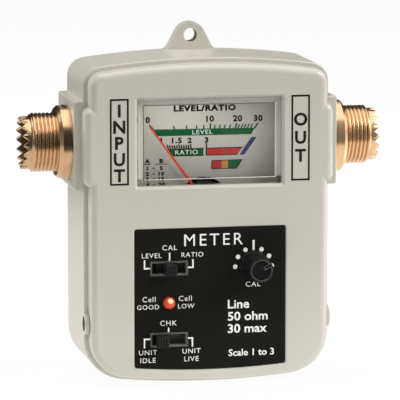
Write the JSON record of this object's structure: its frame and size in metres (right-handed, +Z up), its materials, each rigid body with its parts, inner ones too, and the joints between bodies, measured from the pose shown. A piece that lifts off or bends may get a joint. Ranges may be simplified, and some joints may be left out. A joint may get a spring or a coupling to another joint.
{
  "type": "antenna tester",
  "caption": "Handheld antenna tester: shallow plastic case with a needle meter, slide switches, set knob, lamp, hanging lug and a threaded coaxial socket on each side.",
  "frame": {"origin": "middle of the flat back face, halfway up the case body without the lug", "axes": "+X to the right seen from the front, +Z up towards the lug, the front faces -Y"},
  "size_m": [0.098, 0.0413, 0.0955],
  "materials": {
    "case_plastic": "satin, moulded",
    "panel_black": "matt printed",
    "black_plastic": "satin",
    "knob_plastic": "satin",
    "clear_plastic": "clear, polished",
    "lamp_red": "tinted, polished",
    "scale_white": "printed",
    "needle_red": "painted",
    "port_brass": "turned",
    "port_insulator": "waxy",
    "steel": "plated",
    "tin": "tinned",
    "copper": "enamelled wire",
    "board_green": "solder mask",
    "iron": "ground",
    "wire_insulation": "matt",
    "battery_jacket": "satin wrap",
    "resistor_body": "lacquered",
    "chip_black": "moulded"
  },
  "bodies": {
    "case": {"battery": "battery_jacket", "battery_leads": "wire_insulation", "battery_snap": "black_plastic", "battery_studs": "tin", "board_capacitors": "black_plastic", "board_chip": "chip_black", "board_resistors": "resistor_body", "board_screws": "steel", "front_cover": "case_plastic", "indicator_lamp": "lamp_red", "label_panel": "panel_black", "lamp_leads": "tin", "left_port_contact": "port_brass", "left_port_insulator": "port_insulator", "left_port_nut": "port_brass", "left_port_shell": "port_brass", "left_port_washer": "port_brass", "line_shield": "tin", "main_board": "board_green", "meter_bridge": "black_plastic", "meter_bushes": "port_brass", "meter_core": "iron", "meter_housing": "black_plastic", "meter_leads": "wire_insulation", "meter_scale_plate": "scale_white", "meter_screws": "steel", "meter_terminals": "port_brass", "meter_window": "clear_plastic", "meter_yoke": "iron", "mode_switch_base": "resistor_body", "mode_switch_can": "steel", "mode_switch_pins": "tin", "pickup_board": "board_green", "pickup_leads": "wire_insulation", "power_switch_base": "resistor_body", "power_switch_can": "steel", "power_switch_pins": "tin", "rear_case": "case_plastic", "right_port_contact": "port_brass", "right_port_insulator": "port_insulator", "right_port_nut": "port_brass", "right_port_shell": "port_brass", "right_port_washer": "port_brass", "set_pot_body": "black_plastic", "set_pot_pins": "tin", "side_screws": "steel", "through_line": "copper"},
    "needle": {"meter_needle": "needle_red", "meter_hub": "black_plastic", "meter_shafts": "steel", "meter_coil": "copper", "meter_hairspring": "copper"},
    "knob": {"set_knob": "knob_plastic", "set_shaft": "steel"},
    "mode_slider": {"mode_slider": "black_plastic"},
    "power_slider": {"power_slider": "black_plastic"},
    "battery_door": {"battery_door": "case_plastic"}
  },
  "joints": [
    {"name": "needle_turn", "type": "hinge", "parent": "case", "child": "needle", "pos_m": [-0.0008, -0.0265, 0.0055], "axis": [0, 1, 0], "range_deg": [0, 76], "stiffness_Nm_per_rad": 0.00002, "springref_deg": -20.05},
    {"name": "knob_turn", "type": "hinge", "parent": "case", "child": "knob", "pos_m": [0.012, -0.0365, -0.01175], "axis": [0, 1, 0], "range_deg": [-212, 88]},
    {"name": "mode_slide", "type": "slide", "parent": "case", "child": "mode_slider", "axis": [1, 0, 0], "range_m": [-0.0022, 0.0022]},
    {"name": "power_slide", "type": "slide", "parent": "case", "child": "power_slider", "axis": [1, 0, 0], "range_m": [0, 0.0044]},
    {"name": "door_hinge", "type": "hinge", "parent": "case", "child": "battery_door", "pos_m": [0, 0, -0.03835], "axis": [-1, 0, 0], "range_deg": [0, 45]}
  ]
}
